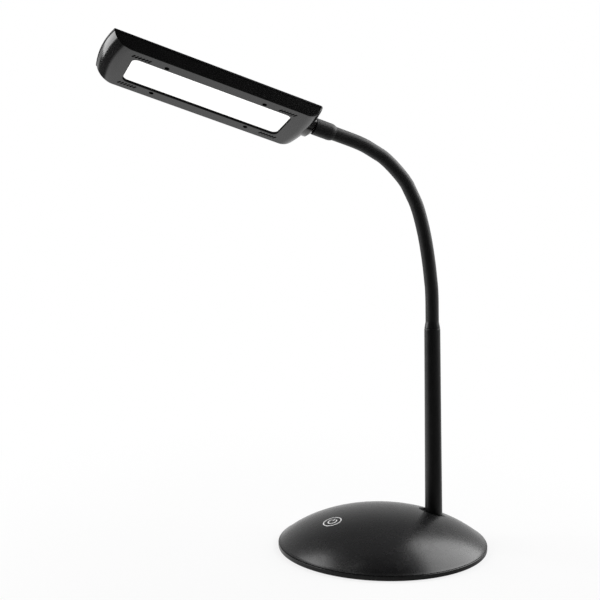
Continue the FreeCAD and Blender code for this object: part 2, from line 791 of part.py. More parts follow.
COLLAR_END = "(neck_reach - collar_length)"
FLARE_START = f"({COLLAR_END} - neck_gap)"


def neck_oval(back):
    item = doc.addObject("Part::Ellipse", "neck_oval")
    item.setExpression("MajorRadius", linked("neck_half_width"))
    item.setExpression("MinorRadius", linked("neck_half_height"))
    return place(item, y=f"0 - {back}", z="0 - neck_drop", turn=(X, 90))


neck_circle = doc.addObject("Part::Circle", "neck_circle")
neck_circle.setExpression("Radius", linked(f"{COLLAR_RADIUS} - neck_under"))
place(neck_circle, y=FLARE_START, turn=(X, 90))
flare = doc.addObject("Part::Loft", "flare")
flare.Sections = [neck_circle, neck_oval("flare_inside"), neck_oval("oval_inside")]
flare.Solid = True
flare.Ruled = True
groove = cut(
    cylinder(f"{STUB_RADIUS} + 1", "2 * clip_radius + fit_gap",
             y=f"{COLLAR_END} + clip_back + clip_radius + fit_gap / 2", turn=(X, 90)),
    cylinder(f"{STUB_RADIUS} - clip_radius - stub_slack", "4 * clip_radius",
             y=f"{COLLAR_END} + clip_back + 2 * clip_radius", turn=(X, 90)),
)
stub = cut(
    cylinder(STUB_RADIUS, "stub_length + 1 - neck_gap", y=f"{COLLAR_END} + stub_length - neck_gap",
             turn=(X, 90)),
    groove,
)
keep(cut(
    fuse(
        cut(flare, shaped(head_form(0, -size("head_bottom"), split_up)),
            plan_form("0", "3 * cover_thick", COVER_LOW)),
        stub,
        block("tongue_width", f"tongue_inside + {FLARE_START} - join_depth", "tongue_height",
              y=f"({FLARE_START} - join_depth - tongue_inside) / 2", z="0 - tongue_drop - tongue_height / 2"),
    ),
    cylinder("stub_bore", "stub_length + 2 * tongue_inside", y=f"{COLLAR_END} + stub_length", turn=(X, 90)),
), "head_neck", head_frame)

# Light unit


def slab(label, width, length, height, lift):
    item = body(label)
    drawing = sketch(item, lift=lift)
    rectangle(drawing, width, length, y=MIDDLE)
    return pad(item, drawing, height)


UNIT_LENGTH = f"({WINDOW_LENGTH} + 2 * diffuser_end_lap)"
UNIT_WIDTH = f"({WINDOW_WIDTH} + 2 * diffuser_side_lap)"
DIFFUSER_LOW = "head_floor - head_bottom + stack_gap"
FRAME_LOW = f"({DIFFUSER_LOW} + diffuser_thick + stack_gap)"
LED_BOARD_LOW = "head_top - cover_thick - led_board_thick - stack_gap"
LED_SPREAD = f"({UNIT_LENGTH} / 2 - led_end_inset)"
keep(slab("diffuser", UNIT_WIDTH, UNIT_LENGTH, "diffuser_thick", DIFFUSER_LOW), "diffuser", head_frame)
keep(slab("led_board", UNIT_WIDTH, UNIT_LENGTH, "led_board_thick", LED_BOARD_LOW), "led_board",
     head_frame)

reflector = body("reflector_frame")
outline = sketch(reflector, lift=FRAME_LOW)
rectangle(outline, UNIT_WIDTH, UNIT_LENGTH, y=MIDDLE)
rectangle(outline, f"{UNIT_WIDTH} - 2 * frame_wall", f"{UNIT_LENGTH} - 2 * frame_wall", y=MIDDLE)
pad(reflector, outline, f"{LED_BOARD_LOW} - stack_gap - {FRAME_LOW}")
keep(reflector, "reflector_frame", head_frame)

keep(group(*(
    block("led_width", "led_length", "led_thick", x=f"{side} * led_row",
          y=f"{MIDDLE} + {2 * column / (LED_COLUMNS - 1) - 1} * {LED_SPREAD}", z=f"{LED_BOARD_LOW} - led_thick")
    for side in (-1, 1) for column in range(LED_COLUMNS)
)), "leds", head_frame)

doc.recompute()


def check():
    for item in doc.Objects:
        if "Invalid" in item.State or "Error" in item.State:
            raise RuntimeError(f"{item.Name} ({item.Label}) has state {item.State}")
    for item in parts:
        if item.Shape.isNull() or not item.Shape.isValid():
            raise RuntimeError(f"{item.Label} has no valid shape")


check()
os.makedirs("parts", exist_ok=True)
for item in parts:
    item.Shape.exportStep(f"parts/{item.Label}.step")
    print(item.Label, len(item.Shape.Solids), "solids", round(item.Shape.Volume, 1), "mm3")
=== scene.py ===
import json
import math

import bmesh
import bpy
from mathutils import Matrix, Vector


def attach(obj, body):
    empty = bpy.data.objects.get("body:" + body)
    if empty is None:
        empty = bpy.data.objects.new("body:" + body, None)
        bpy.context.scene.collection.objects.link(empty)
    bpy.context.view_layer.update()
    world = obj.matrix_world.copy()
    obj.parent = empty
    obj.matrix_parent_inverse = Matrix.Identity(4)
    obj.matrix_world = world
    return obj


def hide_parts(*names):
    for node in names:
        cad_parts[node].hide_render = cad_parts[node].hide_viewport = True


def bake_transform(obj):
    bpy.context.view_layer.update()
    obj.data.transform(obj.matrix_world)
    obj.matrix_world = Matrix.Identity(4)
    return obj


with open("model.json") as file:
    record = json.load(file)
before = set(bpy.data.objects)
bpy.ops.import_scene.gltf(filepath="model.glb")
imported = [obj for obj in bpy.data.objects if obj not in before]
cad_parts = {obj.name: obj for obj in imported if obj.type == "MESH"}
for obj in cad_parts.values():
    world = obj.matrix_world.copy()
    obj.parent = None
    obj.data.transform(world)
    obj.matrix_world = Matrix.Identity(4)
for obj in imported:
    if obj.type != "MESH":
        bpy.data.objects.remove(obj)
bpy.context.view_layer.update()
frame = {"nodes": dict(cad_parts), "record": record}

MM = 0.001

# Sizes of the lamp as its CAD parts are made. All lengths are in millimetres unless a comment says otherwise.
BASE_RADIUS = 82.5
DOME_EDGE = 82.1
DOME_HEIGHT = 29.0
DOME_SINK = 27.4
RIM_HEIGHT = 4.0
SHELL_WALL = 2.2
SEAT_UP = 20.6
SEAT_RADIUS = 12.0
STUD_HOLE = 5.5
ROD_BACK = 45.4
ROD_LEAN = 1.2
ROD_LENGTH = 151.3
PIVOT_ABOVE_ROD = 6.13
LINK = 23.0
TUBE_RADIUS = 5.3
REST_BENDS = (0.0, 6.0, 3.0, 6.0, 12.0, 17.0, 16.0, 11.3, 0.0)
SIDE_LINKS = (2, 5, 7)
COLLAR_LENGTH = 18.1
NECK_REACH = 20.5
HEAD_ROLL = 20.8
HEAD_LENGTH = 163.0
HEAD_WIDTH = 52.6
HEAD_TOP = 2.1
HEAD_BOTTOM = 9.4
HEAD_WALL = 1.8
HEAD_FLOOR = 2.0
SPLIT_UP = 0.5
END_RADIUS = 134.0
END_ROUND = 15.5
TOUCH_FRONT = 42.5
JACK_BACK = 68.0
JACK_UP = 7.7
PLUG_RADIUS = 5.0
TUNNEL_WALL = 2.2

DOME_UP = DOME_HEIGHT + DOME_SINK
DOME_ACROSS = DOME_EDGE / math.sqrt(1 - ((RIM_HEIGHT + DOME_SINK) / DOME_UP) ** 2)

# Radius that stands for the middle line in a turned profile
AXIS = 1e-4


# Mesh making


def turn_x(degrees):
    return Matrix.Rotation(math.radians(degrees), 4, "X")


def turn_y(degrees):
    return Matrix.Rotation(math.radians(degrees), 4, "Y")


def shift(x=0.0, y=0.0, z=0.0):
    return Matrix.Translation((x, y, z))


def new_object(name, points, faces, place=None):
    """An object from points in millimetres, placed by a matrix and stored in metres."""
    mesh = bpy.data.meshes.new(name)
    mesh.from_pydata([tuple(p) for p in points], [], faces)
    if place is not None:
        mesh.transform(place)
    mesh.transform(Matrix.Scale(MM, 4))
    build = bmesh.new()
    build.from_mesh(mesh)
    bmesh.ops.remove_doubles(build, verts=build.verts, dist=1e-7)
    bmesh.ops.recalc_face_normals(build, faces=build.faces)
    build.to_mesh(mesh)
    build.free()
    item = bpy.data.objects.new(name, mesh)
    bpy.context.scene.collection.objects.link(item)
    return item


def skin_rings(rings, loop=False):
    """Points and faces of a closed surface through rings that all have the same number of points.

    The last ring joins the first one in a loop. Otherwise the first and last ring are capped.
    """
    count = len(rings[0])
    points = [p for ring in rings for p in ring]
    faces = []
    for k in range(len(rings) if loop else len(rings) - 1):
        low, high = k * count, (k + 1) % len(rings) * count
        for j in range(count):
            following = (j + 1) % count
            faces.append((low + j, low + following, high + following, high + j))
    if not loop:
        faces.append(tuple(reversed(range(count))))
        faces.append(tuple(range(len(points) - count, len(points))))
    return points, faces


def circle(radius, steps):
    """Points of a circle in its own plane."""
    return [(radius * math.cos(math.tau * k / steps), radius * math.sin(math.tau * k / steps)) for k in range(steps)]


def arc(centre, radius, start, end, steps):
    """Points of an arc in its own plane, with angles in degrees."""
    return [(centre[0] + radius * math.cos(math.radians(start + (end - start) * k / steps)),
             centre[1] + radius * math.sin(math.radians(start + (end - start) * k / steps)))
            for k in range(steps + 1)]


def lathe(name, profile, place=None, steps=72, loop=False):
    """A turned piece from radius and height pairs. A profile that is a loop makes a ring-shaped solid."""
    rings = [[(x, y, height) for x, y in circle(radius, steps)] for radius, height in profile]
    return new_object(name, *skin_rings(rings, loop), place)


def cylinder(name, radius, low, high, place, steps):
    return lathe(name, [(AXIS, low), (radius, low), (radius, high), (AXIS, high)], place, steps)


def block(name, low, high, place=None):
    """A box used only as a cutting tool."""
    points = [(x, y, z) for z in (low[2], high[2]) for y in (low[1], high[1]) for x in (low[0], high[0])]
    faces = [(0, 1, 3, 2), (4, 6, 7, 5), (0, 4, 5, 1), (2, 3, 7, 6), (0, 2, 6, 4), (1, 5, 7, 3)]
    return new_object(name, points, faces, place)


def remove(item):
    mesh = item.data
    bpy.data.objects.remove(item)
    bpy.data.meshes.remove(mesh)


def settle(item):
    """Applies the modifiers of an object to its mesh."""
    bpy.context.view_layer.update()
    graph = bpy.context.evaluated_depsgraph_get()
    mesh = bpy.data.meshes.new_from_object(item.evaluated_get(graph))
    item.modifiers.clear()
    item.data = mesh


def combine(target, tools, operation):
    """Cuts tools from the target, or joins them to it, and removes them."""
    for tool in tools:
        step = target.modifiers.new("step", "BOOLEAN")
        step.operation = operation
        step.solver = "EXACT"
        step.object = tool
    settle(target)
    for tool in tools:
        remove(tool)


def joined(items):
    """One object from several that stand clear of each other."""
    build = bmesh.new()
    for item in items:
        build.from_mesh(item.data)
    first, *others = items
    build.to_mesh(first.data)
    build.free()
    for item in others:
        remove(item)
    return first


def finish_piece(item, material, angle):
    """Smooth shading up to an angle in degrees, and the piece's material."""
    mesh = item.data
    mesh.polygons.foreach_set("use_smooth", [True] * len(mesh.polygons))
    mesh.set_sharp_from_angle(angle=math.radians(angle))
    weighted = item.modifiers.new("weighted", "WEIGHTED_NORMAL")
    weighted.keep_sharp = True
    settle(item)
    item.data.materials.clear()
    item.data.materials.append(material)


# Materials. Noise scales and grain are per metre, and the bump height is in metres.

COLOUR_SCALE = 45.0
GLOSS_SCALE = 160.0
BUMP_HEIGHT = 0.0001
COAT_ROUGHNESS = 0.1


def nodes_of(name):
    material = bpy.data.materials.new(name)
    material.use_nodes = True
    tree = material.node_tree
    return material, tree, tree.nodes["Principled BSDF"]


def add_noise(tree, scale, detail=4.0):
    coordinates = tree.nodes.get("place") or tree.nodes.new("ShaderNodeTexCoord")
    coordinates.name = "place"
    noise = tree.nodes.new("ShaderNodeTexNoise")
    noise.inputs["Scale"].default_value = scale
    noise.inputs["Detail"].default_value = detail
    noise.inputs["Roughness"].default_value = 0.55
    tree.links.new(coordinates.outputs["Object"], noise.inputs["Vector"])
    return noise


def ramp_of(tree, source, start, end, low, high, kind="SMOOTHSTEP"):
    """A step from one value to another while the source goes from start to end."""
    step = tree.nodes.new("ShaderNodeMapRange")
    step.interpolation_type = kind
    step.inputs["From Min"].default_value = start
    step.inputs["From Max"].default_value = end
    step.inputs["To Min"].default_value = low
    step.inputs["To Max"].default_value = high
    tree.links.new(source, step.inputs["Value"])
    return step.outputs["Result"]


def spread(tree, source, low, high, target):
    """Turns a noise into a range of values for a socket."""
    tree.links.new(ramp_of(tree, source.outputs["Fac"], 0.3, 0.7, low, high, "LINEAR"), target)


def tint(tree, source, dark, light, target):
    """Turns a noise into a range of colours for a socket."""
    ramp = tree.nodes.new("ShaderNodeValToRGB")
    for element, position, colour in zip(ramp.color_ramp.elements, (0.35, 0.65), (dark, light)):
        element.position = position
        element.color = (*colour, 1)
    tree.links.new(source.outputs["Fac"], ramp.inputs["Fac"])
    tree.links.new(ramp.outputs["Color"], target)


def surface(name, dark, light, rough, grain, bump, metal=0.0, coat=0.0, ior=1.5):
    """A surface with fine grain in its height, patches in its gloss and a slight change in its colour."""
    material, tree, shader = nodes_of(name)
    shader.inputs["Metallic"].default_value = metal
    shader.inputs["IOR"].default_value = ior
    shader.inputs["Coat Weight"].default_value = coat
    shader.inputs["Coat Roughness"].default_value = COAT_ROUGHNESS
    tint(tree, add_noise(tree, COLOUR_SCALE), dark, light, shader.inputs["Base Color"])
    spread(tree, add_noise(tree, GLOSS_SCALE, detail=3.0), *rough, shader.inputs["Roughness"])
    relief = tree.nodes.new("ShaderNodeBump")
    relief.inputs["Strength"].default_value = bump
    relief.inputs["Distance"].default_value = BUMP_HEIGHT
    tree.links.new(add_noise(tree, grain, detail=2.0).outputs["Fac"], relief.inputs["Height"])
    tree.links.new(relief.outputs["Normal"], shader.inputs["Normal"])
    return material


def painted_glow_sheet(name):
    """The opal sheet's painted glow: it emits light itself, with no lamp behind it, nearly even white and a little
    warmer in soft patches.
    """
    material, tree, shader = nodes_of(name)
    shader.inputs["Roughness"].default_value = 0.45
    shader.inputs["Emission Strength"].default_value = 0.92
    tint(tree, add_noise(tree, 30.0), (0.40, 0.40, 0.39), (0.46, 0.46, 0.45), shader.inputs["Base Color"])
    tint(tree, add_noise(tree, 22.0), (0.99, 0.985, 0.975), (1.0, 1.0, 0.995), shader.inputs["Emission Color"])
    return material


# Each has its darkest and lightest colour, its range of roughness, its grain and the strength of its bump.
SATIN = surface("satin_black", (0.005, 0.005, 0.0053), (0.007, 0.007, 0.0073), (0.18, 0.22), 2600.0, 0.06)
DOME = surface("dome_black", (0.005, 0.005, 0.0055), (0.007, 0.007, 0.0076), (0.25, 0.29), 2200.0, 0.06)
BEZEL = surface("head_black", (0.006, 0.0058, 0.006), (0.008, 0.0078, 0.008), (0.13, 0.17), 2600.0, 0.03)
COVER = surface("cover_black", (0.004, 0.004, 0.0042), (0.006, 0.006, 0.0062), (0.30, 0.36), 2400.0, 0.06, ior=1.3)
# Painted shade for the window's inner walls: a darker colour and a low IOR that dims their reflections
SHADED_RECESS = surface("recess_painted_shade", (0.004, 0.004, 0.004), (0.006, 0.006, 0.006), (0.7, 0.8), 2600.0, 0.1, ior=1.12)
GLOSS = surface("gloss_black", (0.0065, 0.006, 0.006), (0.009, 0.0085, 0.008), (0.10, 0.15), 900.0, 0.03, coat=0.4)
PAINT = surface("rod_paint", (0.005, 0.005, 0.0054), (0.007, 0.007, 0.0074), (0.32, 0.38), 1700.0, 0.12)
RUBBER = surface("rubber_skin", (0.006, 0.006, 0.0064), (0.010, 0.010, 0.0105), (0.46, 0.54), 3200.0, 0.25)
FOOT = surface("foot_rubber", (0.012, 0.012, 0.012), (0.018, 0.018, 0.018), (0.75, 0.85), 900.0, 0.9)
STEEL = surface("bare_steel", (0.50, 0.50, 0.51), (0.60, 0.60, 0.61), (0.28, 0.38), 1400.0, 0.2, metal=1.0)
IRON = surface("cast_iron", (0.07, 0.07, 0.07), (0.12, 0.12, 0.12), (0.55, 0.7), 700.0, 0.8, metal=0.8)
SCREW = surface("screw_black", (0.02, 0.02, 0.02), (0.035, 0.035, 0.035), (0.3, 0.4), 1500.0, 0.2, metal=0.7)
MARK = surface("mark_white", (0.80, 0.80, 0.80), (0.88, 0.88, 0.88), (0.4, 0.5), 2500.0, 0.1)
FOAM = surface("foam_grey", (0.20, 0.20, 0.21), (0.28, 0.28, 0.29), (0.85, 0.95), 1200.0, 1.0)
BOARD = surface("board_green", (0.02, 0.15, 0.06), (0.03, 0.19, 0.08), (0.3, 0.4), 900.0, 0.2)
CHIP = surface("chip_black", (0.02, 0.02, 0.02), (0.03, 0.03, 0.03), (0.4, 0.5), 2000.0, 0.3)
NYLON = surface("spacer_nylon", (0.68, 0.68, 0.64), (0.76, 0.76, 0.72), (0.45, 0.55), 1500.0, 0.2)
WHITE = surface("matte_white", (0.86, 0.86, 0.85), (0.92, 0.92, 0.91), (0.6, 0.7), 1500.0, 0.2)
PHOSPHOR = surface("led_phosphor", (0.85, 0.74, 0.28), (0.92, 0.82, 0.36), (0.35, 0.45), 1500.0, 0.2)
# Painted glow: the diffuser shines by its own emission, not lit by a lamp
PAINTED_GLOW = painted_glow_sheet("opal_painted_glow")

MATERIALS = {
    "shell_black": SATIN, "neck_black": GLOSS, "rod_black": PAINT, "rubber_black": RUBBER, "weight_iron": IRON,
    "steel": STEEL, "screw_black": SCREW, "mark_white": MARK, "foam_grey": FOAM, "board_green": BOARD,
    "chip_black": CHIP, "spacer_white": NYLON, "diffuser_white": PAINTED_GLOW, "reflector_white": WHITE,
    "board_white": WHITE, "led_yellow": PHOSPHOR,
}
for part in frame["record"]["subparts"]:
    mesh = frame["nodes"][part["node"]].data
    mesh.materials.clear()
    mesh.materials.append(MATERIALS[part["material_slot"]])

# Base

JACK_HALF = 4.8
JACK_LENGTH = 12
JACK_TOP = 11.5
ABOVE_DOME = 40
TUNNEL_REACH = 30
SEAT = shift(y=ROD_BACK)
TUNNEL = shift(0, JACK_BACK, JACK_UP) @ turn_x(-90)
TUNNEL_BLOCK = shift(0, JACK_BACK - TUNNEL_WALL, JACK_UP) @ turn_x(-90)


def dome_curve(shrink, low, steps):
    """The dome's profile from a height near its edge up to its middle."""
    up, across = DOME_UP - shrink, DOME_ACROSS - shrink
    start = math.asin((low + DOME_SINK) / up)
    curve = []
    for k in range(steps + 1):
        angle = start + (math.pi / 2 - start) * k / steps
        curve.append((max(across * math.cos(angle), AXIS), up * math.sin(angle) - DOME_SINK))
    return curve


def dome_at(radius):
    return DOME_UP * math.sqrt(1 - (radius / DOME_ACROSS) ** 2) - DOME_SINK


# The dome's small round edge, as insets from its radius and heights above the rim, up to where the dome starts
DOME_EDGE_CURVE = ((1.1, 0.0), (0.45, 0.12), (0.12, 0.42))
DOME_EDGE_HIGH = 1.0
# The hollow's flat foot reaches this share of the dome's own radius
HOLLOW_SHARE = 0.79
shell = lathe("dome_shell", [(AXIS, RIM_HEIGHT)]
              + [(DOME_EDGE - inset, RIM_HEIGHT + rise) for inset, rise in DOME_EDGE_CURVE]
              + dome_curve(0, RIM_HEIGHT + DOME_EDGE_HIGH, 64), steps=224)
HOLLOW_LOW = RIM_HEIGHT - 1
hollow = lathe("hollow", [(AXIS, HOLLOW_LOW), (DOME_ACROSS * HOLLOW_SHARE, HOLLOW_LOW)]
               + dome_curve(SHELL_WALL, HOLLOW_LOW, 32), steps=128)
seat_block = cylinder("seat_block", SEAT_RADIUS + SHELL_WALL, SEAT_UP - SHELL_WALL, ABOVE_DOME, SEAT, steps=64)
tunnel_block = cylinder("tunnel_block", PLUG_RADIUS + TUNNEL_WALL, 0, TUNNEL_REACH, TUNNEL_BLOCK, steps=64)
combine(hollow, [seat_block, tunnel_block], "DIFFERENCE")
seat_cut = lathe("seat_cut", [
    (AXIS, SEAT_UP), (SEAT_RADIUS - 0.4, SEAT_UP), (SEAT_RADIUS - 0.12, SEAT_UP + 0.12), (SEAT_RADIUS, SEAT_UP + 0.4),
    (SEAT_RADIUS, ABOVE_DOME), (AXIS, ABOVE_DOME)], SEAT, steps=96)
stud_cut = cylinder("stud_cut", STUD_HOLE, 10, 30, SEAT, steps=48)
tunnel_cut = cylinder("tunnel_cut", PLUG_RADIUS, 0, TUNNEL_REACH, TUNNEL, steps=64)
socket_cut = block("socket_cut", (-JACK_HALF, JACK_BACK - JACK_LENGTH, 0), (JACK_HALF, JACK_BACK + 0.3, JACK_TOP))
combine(shell, [hollow, seat_cut, stud_cut, tunnel_cut, socket_cut], "DIFFERENCE")
finish_piece(shell, DOME, angle=24)
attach(shell, "base")
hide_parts("base_shell")

# The plate's recess holds the foot pad, its rim shows under the dome and its spigot stands inside the dome.
PAD_ROOM = 74.3
UNDERSIDE = 1.2
FLOOR_TOP = 2.6
SPIGOT = 75.7
SPIGOT_INSIDE = SPIGOT - 2
SPIGOT_TOP = 6.0
RIM_CURVE = ((1.0, 0.4), (0.6, 0.45), (0.3, 0.6), (0.1, 0.85), (0.0, UNDERSIDE), (0.0, 3.4), (0.08, 3.75),
             (0.3, 3.93), (0.6, RIM_HEIGHT))
plate = lathe("rim_plate", [(AXIS, UNDERSIDE), (PAD_ROOM, UNDERSIDE), (PAD_ROOM, 0.4)]
              + [(BASE_RADIUS - inset, height) for inset, height in RIM_CURVE]
              + [(SPIGOT, RIM_HEIGHT), (SPIGOT, SPIGOT_TOP), (SPIGOT_INSIDE, SPIGOT_TOP), (SPIGOT_INSIDE, FLOOR_TOP),
                 (AXIS, FLOOR_TOP)], steps=224)
plate_tunnel = cylinder("plate_tunnel", PLUG_RADIUS, 0, TUNNEL_REACH, TUNNEL, steps=64)
combine(plate, [plate_tunnel, block("spigot_gap", (-7.5, 70, RIM_HEIGHT), (7.5, 81, 8))], "DIFFERENCE")
finish_piece(plate, SATIN, angle=30)
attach(plate, "base")
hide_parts("base_plate")

GROOVES = 18
GROOVE_FIRST = 8
GROOVE_PITCH = 3.5
GROOVE_DEPTH = 0.25
grooves = []
for k in range(GROOVES):
    middle = GROOVE_FIRST + GROOVE_PITCH * k
    grooves += [(middle - 0.9, 0.0), (middle - 0.6, GROOVE_DEPTH), (middle + 0.6, GROOVE_DEPTH), (middle + 0.9, 0.0)]
foot = lathe("foot_pad", [(AXIS, 0.0)] + grooves
             + [(73.4, 0.0), (73.8, 0.15), (74.0, 0.5), (74.0, UNDERSIDE), (AXIS, UNDERSIDE)], steps=128)
finish_piece(foot, FOOT, angle=20)
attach(foot, "base")
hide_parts("anti_slip_pad")

# Touch mark: a ring, a broken ring and a bar, laid on the dome. It is turned by an angle in its own sloping plane.

MARK_TURN = math.radians(35.0)
MARK_SLOPE = math.atan(DOME_UP * TOUCH_FRONT / DOME_ACROSS ** 2 / math.sqrt(1 - (TOUCH_FRONT / DOME_ACROSS) ** 2))
MARK_RING = 7.6
MARK_LINE = 0.9
MARK_INNER = 3.9
MARK_GAP = 64.0
BAR_START = 0.5
BAR_STEP = 0.39
MARK_LOW = -0.2
MARK_HIGH = 0.03


def inlay(name, pairs, loop):
    """A thin strip on the dome between two outlines, given as pairs of points in the mark's own plane."""
    flat = math.cos(MARK_SLOPE)
    rings = []
    for inner, outside in pairs:
        ring = []
        for (u, v), lift in ((inner, MARK_LOW), (outside, MARK_LOW), (outside, MARK_HIGH), (inner, MARK_HIGH)):
            x = u * math.cos(MARK_TURN) - v * math.sin(MARK_TURN)
            y = (u * math.sin(MARK_TURN) + v * math.cos(MARK_TURN)) * flat - TOUCH_FRONT
            ring.append((x, y, dome_at(math.hypot(x, y)) + lift))
        rings.append(ring)
    return new_object(name, *skin_rings(rings, loop))


def ring_pairs(radius, start, sweep, steps):
    pairs = []
    for k in range(steps + (sweep < 360)):
        angle = math.radians(start + sweep * k / steps)
        along = (math.cos(angle), math.sin(angle))
        pairs.append(((along[0] * (radius - MARK_LINE), along[1] * (radius - MARK_LINE)),
                      (along[0] * radius, along[1] * radius)))
    return pairs


bar_ways = [BAR_START + BAR_STEP * k for k in range(11)]
bar_pairs = [((-MARK_LINE / 2, way), (MARK_LINE / 2, way)) for way in bar_ways]
marks = [
    inlay("mark_ring", ring_pairs(MARK_RING, 0, 360, 96), True),
    inlay("mark_arc", ring_pairs(MARK_INNER, 90 + MARK_GAP / 2, 360 - MARK_GAP, 64), False),
    inlay("mark_bar", bar_pairs, False),
]
for piece in marks:
    finish_piece(piece, MARK, angle=40)
    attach(piece, "base")
    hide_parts("touch_mark")

# Rod, as a tube with a bore for the nipple, and the ferrule on its top

ROD = shift(0, ROD_BACK, SEAT_UP) @ turn_x(ROD_LEAN)
ROD_BORE = 5.05
rod = lathe("rod", [
    (ROD_BORE, 0.2), (6.6, 0.2), (6.85, 0.3), (6.95, 0.6), (6.8, 40), (6.62, 80), (6.47, 120),
    (6.37, ROD_LENGTH - 0.9), (6.33, ROD_LENGTH - 0.35), (6.15, ROD_LENGTH - 0.05), (5.9, ROD_LENGTH),
    (ROD_BORE, ROD_LENGTH)], ROD, loop=True)
finish_piece(rod, PAINT, angle=30)
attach(rod, "base")
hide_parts("rod_tube")

WIRE_BORE = 2.2
FERRULE_DOWN = -16
# Radii, and heights above the rod's top
FERRULE_CURVE = (
    (WIRE_BORE, FERRULE_DOWN), (5.0, FERRULE_DOWN), (5.0, 0.0), (5.95, 0.0), (6.12, 0.1), (6.2, 0.35), (6.1, 1.1),
    (5.75, 3.2), (5.45, 4.7), (TUBE_RADIUS, 5.6), (TUBE_RADIUS, PIVOT_ABOVE_ROD), (WIRE_BORE, PIVOT_ABOVE_ROD),
)
ferrule = lathe("rod_ferrule_skin", [(radius, ROD_LENGTH + rise) for radius, rise in FERRULE_CURVE], ROD, loop=True)
finish_piece(ferrule, PAINT, angle=30)
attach(ferrule, "base")
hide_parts("rod_ferrule")

# Gooseneck: one smooth skin, in pieces that meet at the middle of each link

SIDE = Vector((1, 0, 0))
AHEAD = Vector((0, 0, 1))
SKIN_BORE = 4.2
SKIN_ON_FERRULE = 0.6
SKIN_IN_COLLAR = 4.0


def chain():
    """Each joint's two bodies, its frame and the length of the link after it, then the neck's frame."""
    place = ROD @ shift(z=ROD_LENGTH + PIVOT_ABOVE_ROD)
    before = "base"
    hinges = []
    *link_bends, neck_bend = REST_BENDS
    for number, bend in enumerate(link_bends, 1):
        place = place @ turn_x(bend)
        halves = ("_lower", "_upper") if number in SIDE_LINKS else ("",)
        for half in halves:
            child = f"link_{number}{half}"
            length = LINK / len(halves)
            hinges.append((before, child, place.copy(), length))
            place = place @ shift(z=length)
            before = child
    place = place @ turn_x(neck_bend)
    hinges.append((before, "neck", place.copy(), COLLAR_LENGTH))
    return hinges, place


def tube_piece(name, start, corner, end, steps=14, sides=48):
    """A hollow tube along the smooth curve that leaves its start towards a corner and arrives at its end."""
    outside, inside = [], []
    for k in range(steps + 1):
        t = k / steps
        middle = start * (1 - t) ** 2 + corner * 2 * t * (1 - t) + end * t ** 2
        along = ((corner - start) * (1 - t) + (end - corner) * t).normalized()
        across = SIDE.cross(along).normalized()
        spokes = [SIDE * math.cos(math.tau * j / sides) + across * math.sin(math.tau * j / sides)
                  for j in range(sides)]
        outside.append([middle + spoke * TUBE_RADIUS for spoke in spokes])
        inside.append([middle + spoke * SKIN_BORE for spoke in spokes])
    return new_object(name, *skin_rings(outside + inside[::-1], loop=True))


hinges, NECK = chain()
back, reach_back = ROD.to_3x3() @ AHEAD, SKIN_ON_FERRULE
for index, (parent, child, place, length) in enumerate(hinges):
    corner = place.translation
    ahead = place.to_3x3() @ AHEAD
    start = corner - back * reach_back
    end = corner + ahead * (length / 2 if child != "neck" else SKIN_IN_COLLAR)
    back, reach_back = ahead, length / 2
    skin = tube_piece(f"gooseneck_skin_{index + 1}", start, corner, end)
    finish_piece(skin, RUBBER, angle=40)
    if child == "link_5_lower":
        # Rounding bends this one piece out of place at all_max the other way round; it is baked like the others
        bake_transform(skin)
    else:
        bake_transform(skin)
    if child != "neck":
        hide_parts(child.replace("link_", "gooseneck_sleeve_"))

# Neck

collar = lathe("collar", [
    (4.0, 3.5), (5.35, 1.55), (5.5, 1.6), (5.7, 1.85), (6.1, 3.0), (6.35, 4.2), (6.45, 5.4), (6.45, 17.5),
    (6.38, 17.85), (6.15, 18.05), (5.9, COLLAR_LENGTH), (3.95, COLLAR_LENGTH)], NECK, loop=True)
finish_piece(collar, RUBBER, angle=30)
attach(collar, "neck")
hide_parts("neck_collar")

# Head. Its own frame runs from the neck along -Y, with the light window facing -Z.

HEAD = NECK @ shift(z=NECK_REACH) @ turn_x(-90) @ turn_y(-HEAD_ROLL)
CENTRE_UP = END_ROUND - HEAD_BOTTOM
END_SIDE = math.sqrt(END_ROUND ** 2 - (CENTRE_UP - HEAD_TOP) ** 2)
CENTRE_OUT = END_RADIUS - END_SIDE
TIP_CENTRE = END_RADIUS - HEAD_LENGTH
NECK_CENTRE = -END_RADIUS
MIDDLE = -HEAD_LENGTH / 2
NECK_CORNER = 2.2
TIP_CORNER = 0.7
# The visible neck end is rounded more tightly than in CAD, as the photograph shows it
NECK_ROUND = 11.0
HALF = HEAD_WIDTH / 2
BODY_HALF = HALF - 0.25
SIDE_ROUND = 0.6
JOINT_LIP = 0.25
ROUND_STEPS = 30
CAVITY_STEPS = 12


def outline(tip, neck, half, height, end_steps=24, corner_steps=5):
    """The head's outline at a height: two long sides and two bowed ends, with small round corners."""
    ends = []
    for radius, turn in ((neck, NECK_CORNER), (tip, TIP_CORNER)):
        drop = math.sqrt((radius - turn) ** 2 - (half - turn) ** 2)
        lean = math.degrees(math.asin((half - turn) / (radius - turn)))
        quarter = arc((half - turn, drop), turn, 0, 90 - lean, corner_steps)
        for k in range(1, end_steps + 1):
            angle = math.radians(90 - lean + lean * k / end_steps)
            quarter.append((radius * math.cos(angle), radius * math.sin(angle)))
        ends.append(quarter + [(-x, y) for x, y in reversed(quarter[:-1])])
    neck_end, tip_end = ends
    ring = [(x, y + NECK_CENTRE, height) for x, y in neck_end]
    ring += [(-x, TIP_CENTRE - y, height) for x, y in tip_end]
    return ring


def tip_radius(height, inset=0.0):
    """The bow's radius at a height of an end that is rounded as in CAD."""
    turn = END_ROUND - inset
    return CENTRE_OUT + math.sqrt(max(turn ** 2 - (CENTRE_UP - height) ** 2, 1e-6))


def neck_radius(height):
    """The bow's radius at a height of the visible neck end."""
    middle = NECK_ROUND - HEAD_BOTTOM
    side = math.sqrt(NECK_ROUND ** 2 - (middle - HEAD_TOP) ** 2)
    return END_RADIUS - side + math.sqrt(max(NECK_ROUND ** 2 - (middle - height) ** 2, 1e-6))


